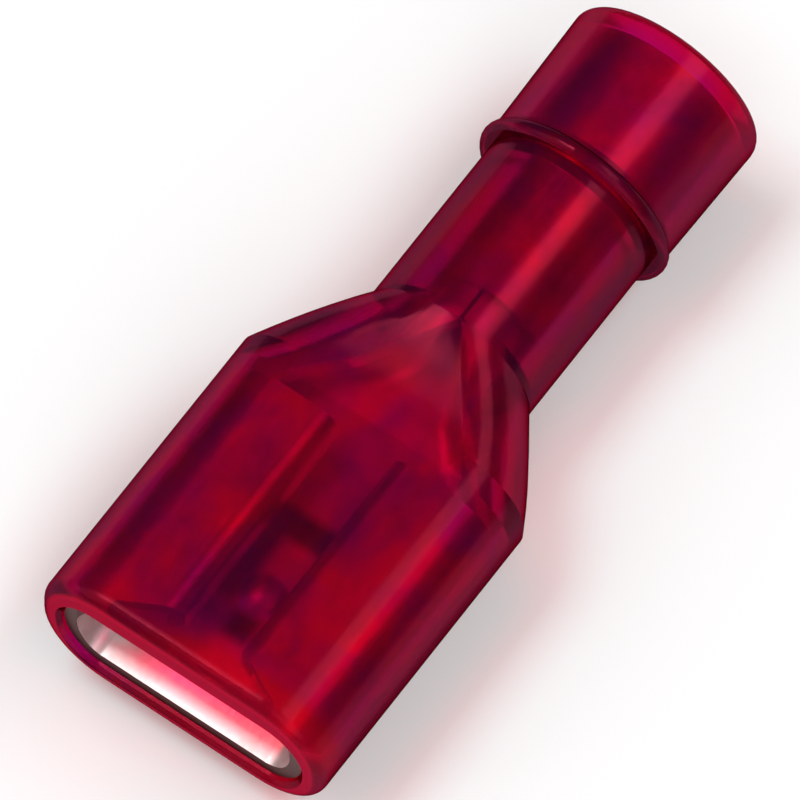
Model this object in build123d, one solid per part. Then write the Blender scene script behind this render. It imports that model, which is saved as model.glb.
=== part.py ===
from build123d import *
import os
from math import asin, degrees

# Fully insulated female spade terminal, in millimetres.
# Stations along the terminal are distances behind the mouth, and heights are measured from the
# middle of the flat section. The pieces are placed at the end, with the origin under the middle.

# Tab that the terminal takes, and the play around it
tab_width = 6.35
tab_thickness = 0.8
tab_side_play = 0.225
tab_lip_play = 0.02

# Flat part of the folded receptacle
stock = 0.4
roll_room = 0.75
lip_gap = 1.8
lip_bend = 0.2
mouth_recess = 0.2
roll_lead = 1.35
roll_end_inset = 0.8

# Flare of the floor down to the mouth: its depth there, its length and the sections it is lofted by
flare_drop = 0.4
flare_length = 2.4
flare_steps = 4

# Locking tongue in the floor: its dimple, the slots round it and the pilot hole before it
dimple_station = 3.76
dimple_radius = 0.65
dimple_height = 0.28
tongue_width = 1.5
tongue_slot_start = 3.4
tongue_slot_end = 6.2
tongue_side_slot = 0.28
tongue_end_slot = 0.55
pilot_station = 2.7
pilot_radius = 0.28

# Neck and wire barrel of the receptacle
wire_bore_radius = 0.85
wire_barrel_length = 4.6
wire_barrel_inset = 0.5
wire_barrel_setback = 0.3
seam_gap = 0.06
neck_setback = 2.3
neck_floor_width = 1.7
neck_wall_angle = 84.0

# Grip sleeve
sleeve_stock = 0.3
sleeve_slip = 0.03
sleeve_setback = 0.9
insulation_bore_radius = 1.95
sleeve_step_length = 0.8
sleeve_lead = 0.12

# Housing
flat_length = 9.1
shoulder_length = 2.95
fit_gap = 0.03
side_wall = 0.67
face_wall = 1.02
side_flat = 0.35
cavity_side_flat = 0.1
cavity_inset = 0.4
bore_inset = 0.55
front_barrel_wall = 0.99
rear_barrel_wall = 0.56
rear_flare = 0.09
rear_length = 4.37
ring_setback = 0.28
bead_radius = 0.25
bead_rise = 0.16
bead_spread = 124.0
funnel_depth = 0.5
funnel_wall = 0.42
mouth_round = 0.4
mouth_lead_in = 0.12
rear_round = 0.32

# Form of the shoulders: steps in the taper, and how late the width closes and the height opens
shoulder_steps = 3
closing_power = 1.1
opening_power = 2.0
crown_angle = 14.0
flank_angle = 5.0

# Receptacle, worked out
receptacle_width = tab_width + 2 * (tab_side_play + stock)
receptacle_height = tab_thickness + roll_room + 2 * stock
underside = -receptacle_height / 2
floor_top = underside + stock
roll_radius = receptacle_height / 2
roll_end = flat_length - roll_end_inset
wire_barrel_radius = wire_bore_radius + stock
axis_height = underside + wire_barrel_radius

# Sleeve and housing, worked out
cavity_width = receptacle_width + 2 * fit_gap
cavity_height = receptacle_height + 2 * fit_gap
flat_width = cavity_width + 2 * side_wall
flat_height = cavity_height + 2 * face_wall
shoulder_end = flat_length + shoulder_length
wire_barrel_start = shoulder_end + wire_barrel_inset
wire_barrel_end = wire_barrel_start + wire_barrel_length
step_start = wire_barrel_end + wire_barrel_setback
step_end = step_start + sleeve_step_length
ring_station = step_start + ring_setback
overall_length = ring_station + rear_length
funnel_start = overall_length - funnel_depth
sleeve_front_bore = wire_barrel_radius + sleeve_slip
sleeve_front_radius = sleeve_front_bore + sleeve_stock
sleeve_rear_radius = insulation_bore_radius + sleeve_stock
front_bore = sleeve_front_radius + fit_gap
rear_bore = sleeve_rear_radius + fit_gap
front_barrel_radius = front_bore + front_barrel_wall
rear_barrel_radius = rear_bore + rear_barrel_wall
rear_end_radius = rear_barrel_radius + rear_flare
bead_crest = rear_barrel_radius + bead_rise
lowest = max(flat_height / 2, max(bead_crest, rear_end_radius) - axis_height)


def across(station, height=0.0):
    """A plane across the terminal, with its own X along the width and its Y upwards."""
    return Plane(origin=(station, 0, height), x_dir=(0, 1, 0), z_dir=(1, 0, 0))


def turned(points):
    """A solid turned about the barrel's axis, from stations and radii."""
    corners = [(station, 0, axis_height + radius) for station, radius in points]
    profile = make_face(Polyline(*corners, close=True))
    return revolve(profile, Axis((0, 0, axis_height), (1, 0, 0)))


def flat_section(station, width, height, straight, rise=0.0):
    """A rounded rectangle whose sides keep a straight strip of the given height."""
    corner = (height - straight) / 2
    return across(station, rise) * RectangleRounded(width, height, corner)


def round_section(station, radius, rise=0.0):
    """A circle cut into two crowns, two flanks and four corners, to match the flat section."""
    arcs = []
    for middle in (0, 90, 180, 270):
        half = crown_angle if middle in (90, 270) else flank_angle
        corner = 90 - crown_angle - flank_angle
        arcs.append(CenterArc((0, 0), radius, middle - half, 2 * half))
        arcs.append(CenterArc((0, 0), radius, middle + half, corner))
    return across(station, rise) * make_face(arcs)


def shoulder(start, end, width, height, straight, radius, steps):
    """The taper from a flat section to a round one, straight if it has one step."""
    sections = []
    for step in range(steps):
        share = step / steps
        closing = share**closing_power
        opening = share**opening_power
        section_width = width + closing * (2 * radius - width)
        section_height = height + opening * (2 * radius - height)
        station = start + share * (end - start)
        sections.append(
            flat_section(station, section_width, section_height, straight, opening * axis_height)
        )
    sections.append(round_section(end, radius, axis_height))
    return loft(sections)


def bead():
    """The ring with a rounded crest over the step between the two barrels."""
    middle = bead_crest - bead_radius
    foot = middle - bead_radius
    crest = CenterArc((0, middle), bead_radius, 90 - bead_spread / 2, bead_spread)
    side = (crest @ 0).X
    sides = Polyline(crest @ 1, (-side, foot), (side, foot), crest @ 0)
    profile = Plane.XZ * make_face([crest, *sides.edges()])
    return Pos(ring_station, 0, axis_height) * revolve(profile, Axis.X)


def housing_outside():
    """The flat section, the shoulders, the two barrels and the bead between them."""
    flat = extrude(flat_section(0, flat_width, flat_height, side_flat), flat_length)
    taper = shoulder(
        flat_length,
        shoulder_end,
        flat_width,
        flat_height,
        side_flat,
        front_barrel_radius,
        shoulder_steps,
    )
    barrels = turned(
        [
            (shoulder_end, 0),
            (shoulder_end, front_barrel_radius),
            (ring_station, front_barrel_radius),
            (ring_station, rear_barrel_radius),
            (overall_length, rear_end_radius),
            (overall_length, 0),
        ]
    )
    return flat + taper + barrels + bead()


def flare(station):
    """How far the floor is bent down at a station in the flare."""
    return flare_drop * (1 - station / flare_length) ** 2


def flare_stations(front):
    """Stations from the front of the flare to its end."""
    return [front + step / flare_steps * (flare_length - front) for step in range(flare_steps + 1)]


def flare_room(station):
    """The lower half of the cavity's section, as far down as the floor is bent."""
    half_width = cavity_width / 2
    corner = (cavity_height - cavity_side_flat) / 2
    middle = half_width - corner
    straight = -cavity_side_flat / 2
    drop = flare(station)
    bottom = -cavity_height / 2 - drop
    lines = [
        Line((0, bottom), (middle, bottom)),
        EllipticalCenterArc((middle, straight), corner, corner + drop, -90, arc_size=90),
        Polyline((half_width, straight), (half_width, 0), (0, 0)),
    ]
    return across(station) * mirrored_outline(lines)


def housing_inside():
    """The receptacle's cavity, the taper behind it, the stepped bore and the wire's funnel."""
    cavity_end = flat_length - cavity_inset
    bore_start = shoulder_end + bore_inset
    cavity = extrude(flat_section(0, cavity_width, cavity_height, cavity_side_flat), cavity_end)
    cavity = cavity + loft([flare_room(station) for station in flare_stations(0)])
    taper = shoulder(
        cavity_end, bore_start, cavity_width, cavity_height, cavity_side_flat, front_bore, 1
    )
    bore = turned(
        [
            (bore_start, 0),
            (bore_start, front_bore),
            (step_start, front_bore),
            (step_end, rear_bore),
            (funnel_start, rear_bore),
            (overall_length, rear_end_radius - funnel_wall),
            (overall_length, 0),
        ]
    )
    return cavity + taper + bore


def housing():
    """The moulded insulation in one piece."""
    body = housing_outside() - housing_inside()
    front = body.faces().sort_by(Axis.X)[0]
    body = chamfer(front.inner_wires()[0].edges(), mouth_lead_in)
    front = body.faces().sort_by(Axis.X)[0]
    body = fillet(front.outer_wire().edges(), min(mouth_round, side_wall - mouth_lead_in - fit_gap))
    back = body.faces().sort_by(Axis.X)[-1]
    return fillet(back.outer_wire().edges(), min(rear_round, funnel_wall - fit_gap))


def mirrored_outline(lines):
    """A face from the lines of its right half, which start and end on the middle line."""
    half = Wire([edge for line in lines for edge in line.edges()])
    return make_face(half.edges() + mirror(half, Plane.YZ).edges())


def roll_section(station):
    """The sheet across the flat part: a floor and two sides rolled over to a lip each."""
    top = -underside
    bend_middle = receptacle_width / 2 - roll_radius
    lip = lip_gap / 2
    lip_radius = lip_bend + stock
    lip_middle = lip + lip_radius
    lip_height = top - lip_radius
    lip_end = floor_top + tab_thickness + tab_lip_play
    lines = [
        Line((0, underside), (bend_middle, underside)),
        CenterArc((bend_middle, 0), roll_radius, -90, 180),
        Line((bend_middle, top), (lip_middle, top)),
        CenterArc((lip_middle, lip_height), lip_radius, 90, 90),
        Polyline((lip, lip_height), (lip, lip_end), (lip + stock, lip_end), (lip + stock, lip_height)),
        CenterArc((lip_middle, lip_height), lip_bend, 180, -90),
        Line((lip_middle, top - stock), (bend_middle, top - stock)),
        CenterArc((bend_middle, 0), roll_radius - stock, 90, -180),
        Line((bend_middle, floor_top), (0, floor_top)),
    ]
    return across(station) * mirrored_outline(lines)


def flared_section(station):
    """The lower half of the flat part's sheet, with its floor bent down."""
    drop = flare(station)
    middle = receptacle_width / 2 - roll_radius
    inner = roll_radius - stock
    lines = [
        Line((0, underside - drop), (middle, underside - drop)),
        EllipticalCenterArc((middle, 0), roll_radius, roll_radius + drop, -90, arc_size=90),
        Line((middle + roll_radius, 0), (middle + inner, 0)),
        EllipticalCenterArc((middle, 0), inner, inner + drop, 0, arc_size=-90),
        Line((middle, floor_top - drop), (0, floor_top - drop)),
    ]
    return across(station) * mirrored_outline(lines)


def channel_section(station, floor_width, bend, wall_angle):
    """The sheet across the neck: a floor and two walls bent up by the given angle."""
    middle = (floor_width / 2, floor_top + bend)
    outer = CenterArc(middle, bend + stock, -90, wall_angle)
    inner = CenterArc(middle, bend, wall_angle - 90, -wall_angle)
    lines = [
        Line((0, underside), outer @ 0),
        outer,
        Line(outer @ 1, inner @ 0),
        inner,
        Line(inner @ 1, (0, floor_top)),
    ]
    return across(station) * mirrored_outline(lines)


def barrel_section(station):
    """The sheet across the wire barrel: a ring whose two ends butt at the top."""
    middle = (0, axis_height)
    seam_angle = degrees(asin(seam_gap / 2 / wire_bore_radius))
    base = crown_angle
    wall = 180 - base - seam_angle
    outer = CenterArc(middle, wire_barrel_radius, base - 90, wall)
    inner = CenterArc(middle, wire_bore_radius, 90 - seam_angle, -wall)
    lines = [
        CenterArc(middle, wire_barrel_radius, -90, base),
        outer,
        Line(outer @ 1, inner @ 0),
        inner,
        CenterArc(middle, wire_bore_radius, base - 90, -base),
    ]
    return across(station) * mirrored_outline(lines)


def roll_front_cut():
    """What is cut off the rolls' upper half, so that they lead in from the sides to the lips."""
    side = receptacle_width / 2 - stock
    slope = roll_lead / (side - lip_gap / 2)
    front = mouth_recess - stock
    outline = Polyline(
        (front, side),
        (mouth_recess, side),
        (mouth_recess + slope * side, 0),
        (mouth_recess, -side),
        (front, -side),
        close=True,
    )
    return extrude(make_face(outline), receptacle_height)


def dimple_cap(height):
    """The ball segment that the dimple is pressed to, with its rim at the given height."""
    ball = (dimple_radius**2 + dimple_height**2) / (2 * dimple_height)
    space = Pos(0, 0, height) * Box(
        2 * ball, 2 * ball, 2 * ball, align=(Align.CENTER, Align.CENTER, Align.MIN)
    )
    cap = Pos(0, 0, height + dimple_height - ball) * Sphere(ball) & space
    return Pos(dimple_station, 0, 0) * cap


def tongue_slots():
    """The slots on both sides of the locking tongue and behind it, and the pilot hole."""
    length = tongue_slot_end - tongue_slot_start
    middle = tongue_slot_start + length / 2
    width = tongue_width + 2 * tongue_side_slot
    around = Pos(middle, 0, underside) * Box(length, width, 4 * stock)
    tongue_length = length - tongue_end_slot
    tongue = Pos(tongue_slot_start + tongue_length / 2, 0, underside) * Box(
        tongue_length, tongue_width, 4 * stock
    )
    pilot = Pos(pilot_station, 0, underside) * Cylinder(pilot_radius, 4 * stock)
    return around - tongue + pilot


def flat_part():
    """The floor with its flare, and the two rolls."""
    rolls = extrude(roll_section(mouth_recess), flare_length - mouth_recess)
    rolls = split(rolls, Plane.XY, keep=Keep.TOP)
    floor = loft([flared_section(station) for station in flare_stations(mouth_recess)])
    rest = extrude(roll_section(flare_length), roll_end - flare_length)
    return rolls + floor + rest - roll_front_cut()


def receptacle():
    """The folded stamping: flat part, locking tongue, neck and wire barrel."""
    sheet = flat_part() + dimple_cap(floor_top) - dimple_cap(underside) - tongue_slots()
    neck = loft(
        [
            channel_section(roll_end, receptacle_width - 2 * roll_radius, roll_radius - stock, 90),
            channel_section(
                wire_barrel_start - neck_setback, neck_floor_width, wire_bore_radius, neck_wall_angle
            ),
            barrel_section(wire_barrel_start),
        ],
        ruled=True,
    )
    barrel = extrude(barrel_section(wire_barrel_start), wire_barrel_length)
    return sheet + neck + barrel


def grip_sleeve():
    """The stepped tube round the wire barrel and the wire's insulation."""
    front = wire_barrel_start + sleeve_setback
    back = funnel_start - fit_gap
    return turned(
        [
            (front, sleeve_front_bore),
            (step_start, sleeve_front_bore),
            (step_end, insulation_bore_radius),
            (back - sleeve_lead, insulation_bore_radius),
            (back, insulation_bore_radius + sleeve_lead),
            (back, sleeve_rear_radius),
            (step_end, sleeve_rear_radius),
            (step_start, sleeve_front_radius),
            (front, sleeve_front_radius),
        ]
    )


def main():
    os.makedirs("parts", exist_ok=True)
    pieces = {"housing": housing(), "receptacle": receptacle(), "grip_sleeve": grip_sleeve()}
    for name, piece in pieces.items():
        placed = Pos(-overall_length / 2, 0, lowest) * piece
        placed.label = name
        export_step(placed, f"parts/{name}.step")


main()
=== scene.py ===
from math import cos, pi, radians, sin

import bpy
from mathutils import Matrix, Vector


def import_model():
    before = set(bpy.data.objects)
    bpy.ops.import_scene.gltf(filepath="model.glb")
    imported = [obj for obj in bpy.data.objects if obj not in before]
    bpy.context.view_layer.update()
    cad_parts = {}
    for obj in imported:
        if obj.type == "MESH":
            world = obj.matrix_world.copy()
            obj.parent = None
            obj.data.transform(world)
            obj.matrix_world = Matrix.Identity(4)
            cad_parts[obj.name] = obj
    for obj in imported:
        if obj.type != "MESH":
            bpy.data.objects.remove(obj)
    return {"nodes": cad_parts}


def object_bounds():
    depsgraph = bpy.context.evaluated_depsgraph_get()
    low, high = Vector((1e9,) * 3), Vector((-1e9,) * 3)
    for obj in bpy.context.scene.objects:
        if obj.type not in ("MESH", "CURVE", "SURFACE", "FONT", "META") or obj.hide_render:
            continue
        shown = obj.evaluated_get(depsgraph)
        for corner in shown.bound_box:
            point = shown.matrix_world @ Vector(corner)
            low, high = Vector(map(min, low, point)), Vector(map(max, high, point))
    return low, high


# Looks of a fully insulated female spade terminal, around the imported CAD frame.
# Lengths are in metres unless a name says otherwise.

MM = 0.001

# Camera, found by fitting the outline: angles in degrees, aim in millimetres, 800 pixel picture
CAMERA_AZIMUTH = 55.333
CAMERA_ELEVATION = 63.708
CAMERA_ROLL = 0.993
CAMERA_AIM_RIGHT = -0.677
CAMERA_AIM_UP = 0.915
CAMERA_DISTANCE = 600.0
PIXELS_PER_MM = 38.135
PICTURE_SIZE = 800
SENSOR_WIDTH = 36.0

# Studio
FLOOR_SIZE = 3.0
FLOOR_GREY = 0.96
WORLD_GREY = 0.22

# Lamps: the way to each, its distance, width and length, the way of its length, its radiance
SOFTBOXES = {
    "key": ((0.37, -0.43, 0.82), 0.45, 0.16, 0.45, (1, 0, 0), 3.4),
    "top": ((-0.12, 0.38, 0.91), 0.6, 0.19, 0.19, (0, 1, 0), 8.5),
    "lead": ((0.12, 0.34, 0.93), 0.6, 0.12, 0.12, (0, 1, 0), 4.0),
    "front": ((-0.55, -0.55, 0.63), 0.6, 0.5, 0.5, (0, 0, 1), 1.6),
    "left": ((-0.45, 0.65, 0.61), 0.6, 0.5, 0.5, (0, 0, 1), 1.2),
}

# Colours, linear
NYLON_RED = (0.90, 0.004, 0.34, 1.0)
NYLON_DEEP = (0.50, 0.003, 0.80, 1.0)
# Painted glow: the brighter red given to the nylon's rims
NYLON_RIM_GLOW = (0.90, 0.010, 0.10, 1.0)
NYLON_SHADE = (0.90, 0.004, 0.20, 1.0)
NYLON_SKIN = (0.85, 0.40, 0.58, 1.0)
NYLON_TINT = (1.0, 0.18, 0.24, 1.0)
NYLON_ABSORPTION = (0.80, 0.05, 0.72, 1.0)
TIN_BRIGHT = (0.82, 0.80, 0.79, 1.0)
TIN_WORN = (0.60, 0.56, 0.52, 1.0)
# Near black: bare brass on sheared end faces darkened as painted shade, and painted shade round
# the openings
BRASS_CUT_AND_SHADE = (0.07, 0.02, 0.02, 1.0)
COPPER_BRIGHT = (0.80, 0.77, 0.74, 1.0)
COPPER_WORN = (0.58, 0.46, 0.38, 1.0)

# Grain of the metals, per millimetre along each axis
BRASS_GRAIN = (0.3, 3.0, 3.0)
COPPER_GRAIN = (3.0, 0.6, 0.6)

# Nylon: its index, its gloss, the density of its colour, and the share of light that it lets
# through, away from its rims and at them, where the lower share helps paint a glow on the rims
NYLON_IOR = 1.47
NYLON_GLOSS = 0.3
NYLON_DENSITY = 1000.0
NYLON_CLEAR = 0.97
NYLON_CLOUDY = 0.4

# Where the nylon is painted a brighter, more scattering red as a glow, in millimetres: its end
# faces, and lips that fade in towards the mouth and the wire end up to a share, with the
# mouth's lip weaker on its left side as painted shade
FACE_DEPTH = 0.75
FACE_FADE = 0.2
LIP_END = 0.05
MOUTH_LIP = 1.55
MOUTH_LIP_SHARE = 0.3
LEFT_FADE_START = -1.0
LEFT_FADE_END = 2.5
LEFT_SHARE = 0.2
WIRE_LIP = 1.05
WIRE_LIP_SHARE = 0.15

# Openings punched round the receptacle's tongue, in millimetres: the middle of each behind the
# mouth and half its length, then its middle to either side and half its width
PUNCHED = ((2.70, 0.28, 0.0, 0.28), (5.93, 0.28, 0.0, 1.03), (4.80, 1.40, 0.89, 0.14))

# Painted shade round them, in millimetres: how far it reaches, and the heights between which it
# ends
SHADE_REACH = 0.3
SHADE_TOP = 2.35
SHADE_FULL = 2.30


def add(tree, kind, **settings):
    """A node of that kind, with the given settings."""
    node = tree.nodes.new(kind)
    for name, value in settings.items():
        setattr(node, name, value)
    return node


def material(name):
    """A new material with an empty tree and its output."""
    mat = bpy.data.materials.new(name)
    mat.use_nodes = True
    mat.node_tree.nodes.clear()
    output = add(mat.node_tree, "ShaderNodeOutputMaterial")
    return mat, mat.node_tree, output


def place(tree, per_mm=(1.0, 1.0, 1.0)):
    """Object coordinates in millimetres, stretched per axis."""
    coordinates = add(tree, "ShaderNodeTexCoord")
    mapping = add(tree, "ShaderNodeMapping")
    mapping.inputs["Scale"].default_value = [s / MM for s in per_mm]
    tree.links.new(coordinates.outputs["Object"], mapping.inputs["Vector"])
    return mapping.outputs["Vector"]


def noise(tree, vector, scale, detail=3.0, roughness=0.5, distortion=0.0):
    """A noise field from 0 to 1."""
    node = add(tree, "ShaderNodeTexNoise")
    node.inputs["Scale"].default_value = scale
    node.inputs["Detail"].default_value = detail
    node.inputs["Roughness"].default_value = roughness
    node.inputs["Distortion"].default_value = distortion
    tree.links.new(vector, node.inputs["Vector"])
    return node.outputs["Fac"]


def remap(tree, value, low, high, to_low, to_high):
    """The value's range from low to high taken to another range, clamped."""
    node = add(tree, "ShaderNodeMapRange")
    for name, number in (
        ("From Min", low),
        ("From Max", high),
        ("To Min", to_low),
        ("To Max", to_high),
    ):
        node.inputs[name].default_value = number
    tree.links.new(value, node.inputs["Value"])
    return node.outputs["Result"]


def blend(tree, share, first, second):
    """A mix of two colours, each a value or a socket."""
    node = add(tree, "ShaderNodeMix", data_type="RGBA")
    tree.links.new(share, node.inputs["Factor"])
    for name, colour in (("A", first), ("B", second)):
        socket = [i for i in node.inputs if i.name == name and i.type == "RGBA"][0]
        if isinstance(colour, bpy.types.NodeSocket):
            tree.links.new(colour, socket)
        else:
            socket.default_value = colour
    return [o for o in node.outputs if o.type == "RGBA"][0]


def bump(tree, height, strength, distance_mm, normal=None):
    """A normal bent by a height field."""
    node = add(tree, "ShaderNodeBump")
    node.inputs["Strength"].default_value = strength
    node.inputs["Distance"].default_value = distance_mm * MM
    tree.links.new(height, node.inputs["Height"])
    if normal is not None:
        tree.links.new(normal, node.inputs["Normal"])
    return node.outputs["Normal"]


def part_along(tree, field, axis):
    """The part along an axis of the field, which is the normal or the object coordinates."""
    coordinates = add(tree, "ShaderNodeTexCoord")
    split = add(tree, "ShaderNodeSeparateXYZ")
    tree.links.new(coordinates.outputs[field], split.inputs[0])
    return split.outputs[axis]


def size_along(tree, field, axis):
    """The same part without its sign."""
    size = add(tree, "ShaderNodeMath", operation="ABSOLUTE")
    tree.links.new(part_along(tree, field, axis), size.inputs[0])
    return size.outputs[0]


def combine(tree, operation, first, second):
    """Two values put together by a math node."""
    node = add(tree, "ShaderNodeMath", operation=operation)
    tree.links.new(first, node.inputs[0])
    tree.links.new(second, node.inputs[1])
    return node.outputs[0]


def times(tree, first, second):
    """The product of two values."""
    return combine(tree, "MULTIPLY", first, second)


def larger(tree, first, second):
    """The larger of two values."""
    return combine(tree, "MAXIMUM", first, second)


def outside(tree, value, middle, half):
    """How far a coordinate lies outside a stretch, less than zero inside it."""
    for operation, number in (("SUBTRACT", middle), ("ABSOLUTE", 0.0), ("SUBTRACT", half)):
        node = add(tree, "ShaderNodeMath", operation=operation)
        node.inputs[1].default_value = number
        tree.links.new(value, node.inputs[0])
        value = node.outputs[0]
    return value


def painted_opening_shade(tree, mouth):
    """Painted shade on the sheet round the openings, darkest at them and fading out."""
    along = part_along(tree, "Object", "X")
    across = size_along(tree, "Object", "Y")
    shares = []
    for station, half_length, side, half_width in PUNCHED:
        past_ends = outside(tree, along, mouth + station * MM, half_length * MM)
        past_sides = outside(tree, across, side * MM, half_width * MM)
        away = larger(tree, past_ends, past_sides)
        shares.append(remap(tree, away, 0.0, SHADE_REACH * MM, 1.0, 0.0))
    share = shares[0]
    for other in shares[1:]:
        share = larger(tree, share, other)
    return share


def rims(tree, mouth, wire_end):
    """Where the nylon is painted a brighter, more scattering red as a glow: its end faces and
    the lips that lead to them, with painted shade on the mouth lip's left side.
    """
    along = part_along(tree, "Object", "X")
    facing = remap(tree, size_along(tree, "Normal", "X"), 0.85, 0.97, 0.0, 1.0)
    start = wire_end - FACE_DEPTH * MM
    distance = size_along(tree, "Object", "X")
    near_ends = remap(tree, distance, start, start + FACE_FADE * MM, 0.0, 1.0)
    faces = times(tree, facing, near_ends)
    inner = mouth + MOUTH_LIP * MM
    mouth_lip = remap(tree, along, inner, mouth + LIP_END * MM, 0.0, MOUTH_LIP_SHARE)
    side = part_along(tree, "Object", "Y")
    # Painted shade: the mouth's lip glows less towards its left side
    left_shade = remap(tree, side, LEFT_FADE_START * MM, LEFT_FADE_END * MM, 1.0, LEFT_SHARE)
    inner = wire_end - WIRE_LIP * MM
    wire_lip = remap(tree, along, inner, wire_end - LIP_END * MM, 0.0, WIRE_LIP_SHARE)
    lips = larger(tree, times(tree, mouth_lip, left_shade), wire_lip)
    return larger(tree, faces, lips)


def nylon(mouth, wire_end):
    """Translucent red moulded nylon, streaky and patchy, with rims painted a brighter red as a
    glow.
    """
    mat, tree, output = material("red_nylon")
    shader = add(tree, "ShaderNodeBsdfPrincipled")
    shader.inputs["IOR"].default_value = NYLON_IOR
    shader.inputs["Specular IOR Level"].default_value = NYLON_GLOSS
    shader.inputs["Specular Tint"].default_value = NYLON_TINT
    shader.inputs["Coat Weight"].default_value = 1.0
    shader.inputs["Coat IOR"].default_value = 1.0
    shader.inputs["Coat Tint"].default_value = NYLON_SKIN
    patches = noise(tree, place(tree, (1.0, 1.4, 1.4)), scale=0.42, detail=2.0, distortion=0.6)
    share = remap(tree, patches, 0.38, 0.68, 0.0, 1.0)
    colour = blend(tree, share, NYLON_RED, NYLON_DEEP)
    # Painted glow: the rims get a brighter red and cloudier nylon, with painted shade on the
    # mouth lip's left side
    rim_glow = rims(tree, mouth, wire_end)
    red = remap(tree, rim_glow, 0.0, 0.15, 0.0, 1.0)
    tree.links.new(blend(tree, red, colour, NYLON_RIM_GLOW), shader.inputs["Base Color"])
    clear = remap(tree, rim_glow, 0.0, 1.0, NYLON_CLEAR, NYLON_CLOUDY)
    tree.links.new(clear, shader.inputs["Transmission Weight"])
    streaks = noise(tree, place(tree, (0.35, 2.0, 2.0)), scale=1.6, detail=4.0, roughness=0.6)
    tree.links.new(remap(tree, streaks, 0.3, 0.7, 0.12, 0.22), shader.inputs["Roughness"])
    skin = noise(tree, place(tree), scale=7.0, roughness=0.55)
    waves = noise(tree, place(tree, (0.5, 1.0, 1.0)), scale=0.9, detail=2.0)
    fine = bump(tree, skin, strength=0.05, distance_mm=0.01)
    normal = bump(tree, waves, strength=0.08, distance_mm=0.05, normal=fine)
    tree.links.new(normal, shader.inputs["Normal"])
    let_through = add(tree, "ShaderNodeBsdfTransparent")
    let_through.inputs["Color"].default_value = NYLON_SHADE
    path = add(tree, "ShaderNodeLightPath")
    surface = add(tree, "ShaderNodeMixShader")
    tree.links.new(path.outputs["Is Shadow Ray"], surface.inputs[0])
    tree.links.new(shader.outputs[0], surface.inputs[1])
    tree.links.new(let_through.outputs[0], surface.inputs[2])
    tree.links.new(surface.outputs[0], output.inputs["Surface"])
    inside = add(tree, "ShaderNodeVolumeAbsorption")
    inside.inputs["Color"].default_value = NYLON_ABSORPTION
    inside.inputs["Density"].default_value = NYLON_DENSITY
    tree.links.new(inside.outputs[0], output.inputs["Volume"])
    return mat


def tinned(name, bright, worn, cut_and_shade, grain, mouth):
    """Tin plating with rolling marks and dull patches; sheared end faces and painted shade
    round the openings take one colour, which on the brass is near black, bare metal darkened as
    painted shade.
    """
    mat, tree, output = material(name)
    shader = add(tree, "ShaderNodeBsdfPrincipled")
    shader.inputs["Metallic"].default_value = 1.0
    patches = noise(tree, place(tree), scale=0.9, detail=4.0, roughness=0.6)
    colour = blend(tree, remap(tree, patches, 0.45, 0.75, 0.0, 1.0), bright, worn)
    # Sheared end faces: bare metal, painted near black on the brass as shade
    shaded_ends = remap(tree, size_along(tree, "Normal", "X"), 0.72, 0.84, 0.0, 1.0)
    height = part_along(tree, "Object", "Z")
    floor_sheet = remap(tree, height, SHADE_TOP * MM, SHADE_FULL * MM, 0.0, 1.0)
    # Painted shade round the openings in the floor sheet
    opening_shade = times(tree, painted_opening_shade(tree, mouth), floor_sheet)
    colour = blend(tree, larger(tree, shaded_ends, opening_shade), colour, cut_and_shade)
    tree.links.new(colour, shader.inputs["Base Color"])
    marks = noise(tree, place(tree, grain), scale=5.0, detail=4.0, roughness=0.65)
    tree.links.new(remap(tree, marks, 0.3, 0.7, 0.33, 0.45), shader.inputs["Roughness"])
    normal = bump(tree, marks, strength=0.08, distance_mm=0.004)
    tree.links.new(normal, shader.inputs["Normal"])
    tree.links.new(shader.outputs[0], output.inputs["Surface"])
    return mat


def floor_material():
    """A plain pale floor."""
    mat, tree, output = material("pale_floor")
    matt = add(tree, "ShaderNodeBsdfDiffuse")
    matt.inputs["Color"].default_value = (FLOOR_GREY, FLOOR_GREY, FLOOR_GREY, 1.0)
    tree.links.new(matt.outputs[0], output.inputs["Surface"])
    return mat


def floor():
    """The plain floor under the object."""
    half = FLOOR_SIZE / 2
    mesh = bpy.data.meshes.new("floor")
    corners = [(-half, -half, 0), (half, -half, 0), (half, half, 0), (-half, half, 0)]
    mesh.from_pydata(corners, [], [(0, 1, 2, 3)])
    plane = bpy.data.objects.new("floor", mesh)
    bpy.context.scene.collection.objects.link(plane)
    mesh.materials.append(floor_material())


def world():
    """An even grey room."""
    room = bpy.data.worlds.new("studio")
    room.use_nodes = True
    tree = room.node_tree
    tree.nodes.clear()
    output = add(tree, "ShaderNodeOutputWorld")
    grey = add(tree, "ShaderNodeBackground")
    grey.inputs["Color"].default_value = (WORLD_GREY, WORLD_GREY, WORLD_GREY, 1.0)
    tree.links.new(grey.outputs[0], output.inputs["Surface"])
    bpy.context.scene.world = room


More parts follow.
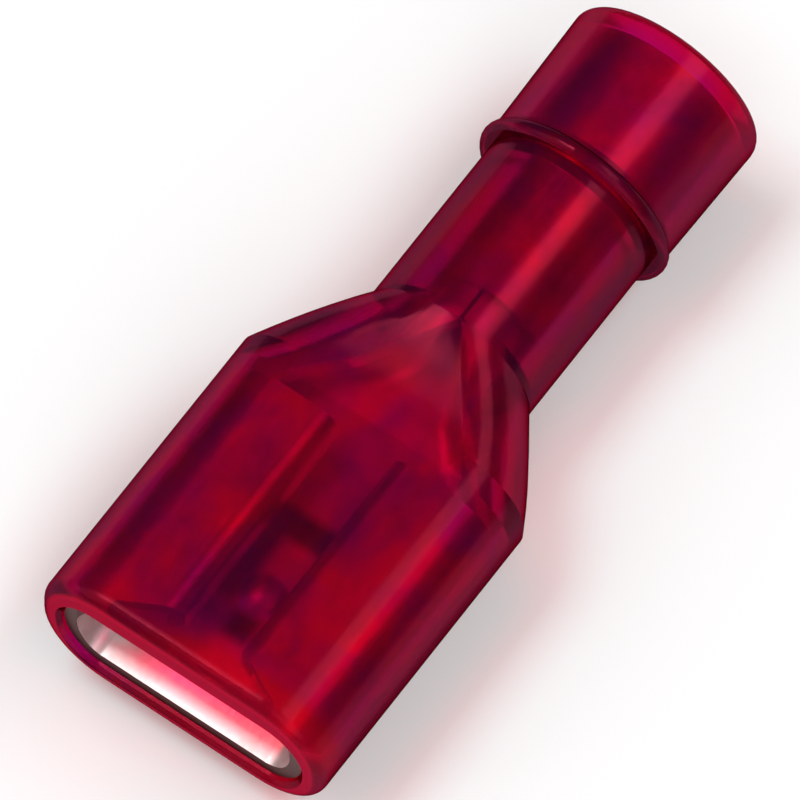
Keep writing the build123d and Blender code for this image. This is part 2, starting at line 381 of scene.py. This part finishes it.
def softbox(name, direction, distance, width, length, along, radiance):
    """A rectangular lamp that faces the object, with its length along the given direction."""
    lamp = bpy.data.lights.new(name, "AREA")
    lamp.shape = "RECTANGLE"
    lamp.size = width
    lamp.size_y = length
    lamp.energy = pi * width * length * radiance
    backward = Vector(direction).normalized()
    upward = Vector(along) - Vector(along).dot(backward) * backward
    upward.normalize()
    sideways = upward.cross(backward)
    turn = Matrix((sideways, upward, backward)).transposed()
    holder = bpy.data.objects.new(name, lamp)
    holder.matrix_world = Matrix.Translation(backward * distance) @ turn.to_4x4()
    bpy.context.scene.collection.objects.link(holder)


def camera():
    """The camera at the photograph's viewing angle."""
    azimuth = radians(CAMERA_AZIMUTH)
    elevation = radians(CAMERA_ELEVATION)
    roll = radians(CAMERA_ROLL)
    right = Vector((cos(azimuth), -sin(azimuth), 0))
    up = Vector((sin(azimuth) * sin(elevation), cos(azimuth) * sin(elevation), cos(elevation)))
    backward = right.cross(up)
    centre = (right * CAMERA_AIM_RIGHT + up * CAMERA_AIM_UP + backward * CAMERA_DISTANCE) * MM
    turned_right = right * cos(roll) + up * sin(roll)
    turned_up = up * cos(roll) - right * sin(roll)
    turn = Matrix((turned_right, turned_up, backward)).transposed()
    view = bpy.data.cameras.new("view")
    view.sensor_width = SENSOR_WIDTH
    view.lens = PIXELS_PER_MM * CAMERA_DISTANCE / PICTURE_SIZE * SENSOR_WIDTH
    view.clip_start = CAMERA_DISTANCE * MM / 10
    holder = bpy.data.objects.new("camera", view)
    holder.matrix_world = Matrix.Translation(centre) @ turn.to_4x4()
    bpy.context.scene.collection.objects.link(holder)
    bpy.context.scene.camera = holder


def dress(node, mat):
    """Gives a CAD node its material."""
    for holder in node.material_slots:
        holder.material = mat


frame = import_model()
cad_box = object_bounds()

mouth_x = cad_box[0][0]
wire_end_x = cad_box[1][0]

dress(frame["nodes"]["housing"], nylon(mouth_x, wire_end_x))
dress(
    frame["nodes"]["receptacle"],
    tinned("tinned_brass", TIN_BRIGHT, TIN_WORN, BRASS_CUT_AND_SHADE, BRASS_GRAIN, mouth_x),
)
dress(
    frame["nodes"]["grip_sleeve"],
    tinned("tinned_copper", COPPER_BRIGHT, COPPER_WORN, COPPER_WORN, COPPER_GRAIN, mouth_x),
)

floor()
world()
for lamp_name, setting in SOFTBOXES.items():
    softbox(lamp_name, *setting)
camera()
bpy.context.scene.view_settings.view_transform = "Standard"
